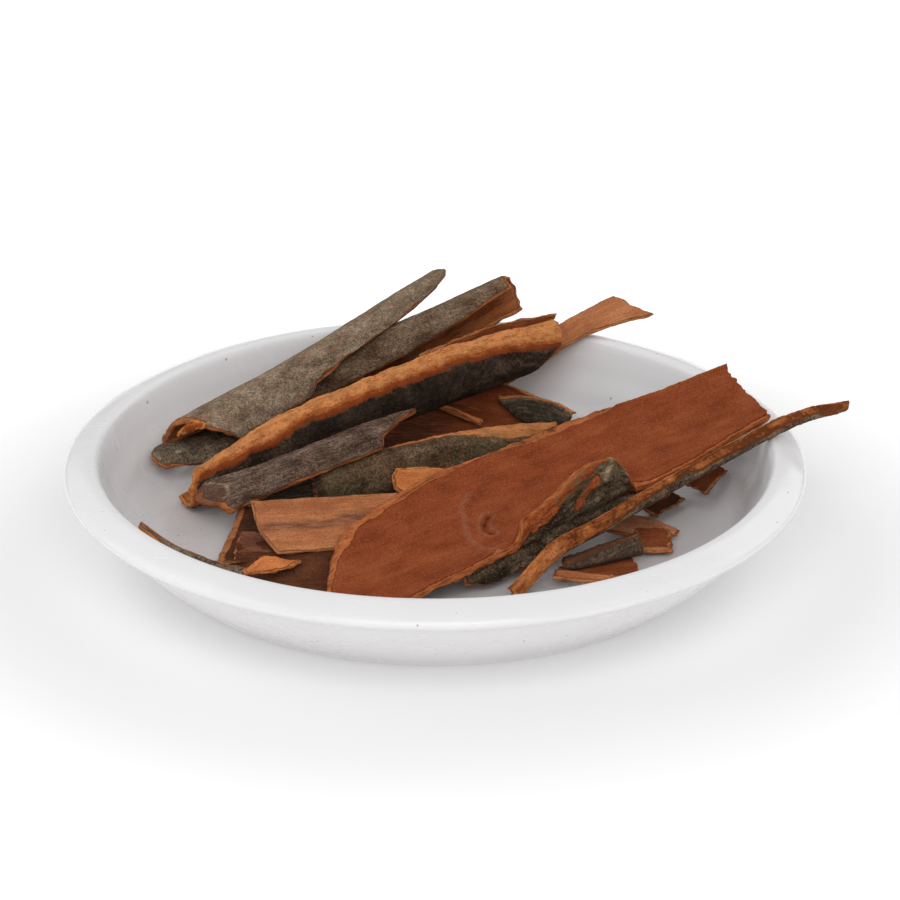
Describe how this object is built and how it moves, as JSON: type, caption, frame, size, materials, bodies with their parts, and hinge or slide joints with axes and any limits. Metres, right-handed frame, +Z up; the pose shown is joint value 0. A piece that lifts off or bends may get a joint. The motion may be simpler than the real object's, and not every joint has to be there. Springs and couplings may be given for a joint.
{
  "type": "dish of broken cinnamon bark",
  "caption": "Shallow round glazed dish holding a loose stack of broken, curled cinnamon quills and flat strips of bark.",
  "frame": {"origin": "centre of the dish's underside, on the table", "axes": "+Z up, -Y towards the front of the dish, +X to the right along the longest side"},
  "size_m": [0.1937, 0.184, 0.0388],
  "materials": {
    "glaze": "white glossy glaze",
    "grey_bark": "dry grey-brown outer bark, matt",
    "inner_bark": "dry reddish brown inner bark, matt",
    "tan_bark": "dry tan bark, matt"
  },
  "bodies": {
    "root": {"dish": "glaze", "long_grey_quill": "grey_bark", "short_grey_scoop": "grey_bark", "rim_grey_quill": "grey_bark", "brown_rim_strip": "inner_bark", "scraped_quill": "grey_bark", "leaning_grey_strip": "grey_bark", "green_grey_quill": "grey_bark", "tan_wedge_chip": "tan_bark", "broad_slab": "inner_bark", "thin_quill": "tan_bark", "tan_strip": "tan_bark", "floor_trough": "inner_bark", "ragged_dark_flake": "inner_bark", "orange_sliver": "tan_bark", "dark_floor_flat": "inner_bark", "curved_front_strip": "grey_bark", "brown_back_sheet": "inner_bark", "thin_splint": "tan_bark", "small_curl": "grey_bark", "tan_rim_strip": "tan_bark", "wall_flake": "tan_bark", "dark_chip": "inner_bark", "pointed_tan_chip": "tan_bark", "layered_block": "tan_bark", "small_grey_roll": "grey_bark", "brown_floor_chip": "inner_bark", "tan_splint": "tan_bark", "dark_splint": "inner_bark"}
  },
  "joints": []
}
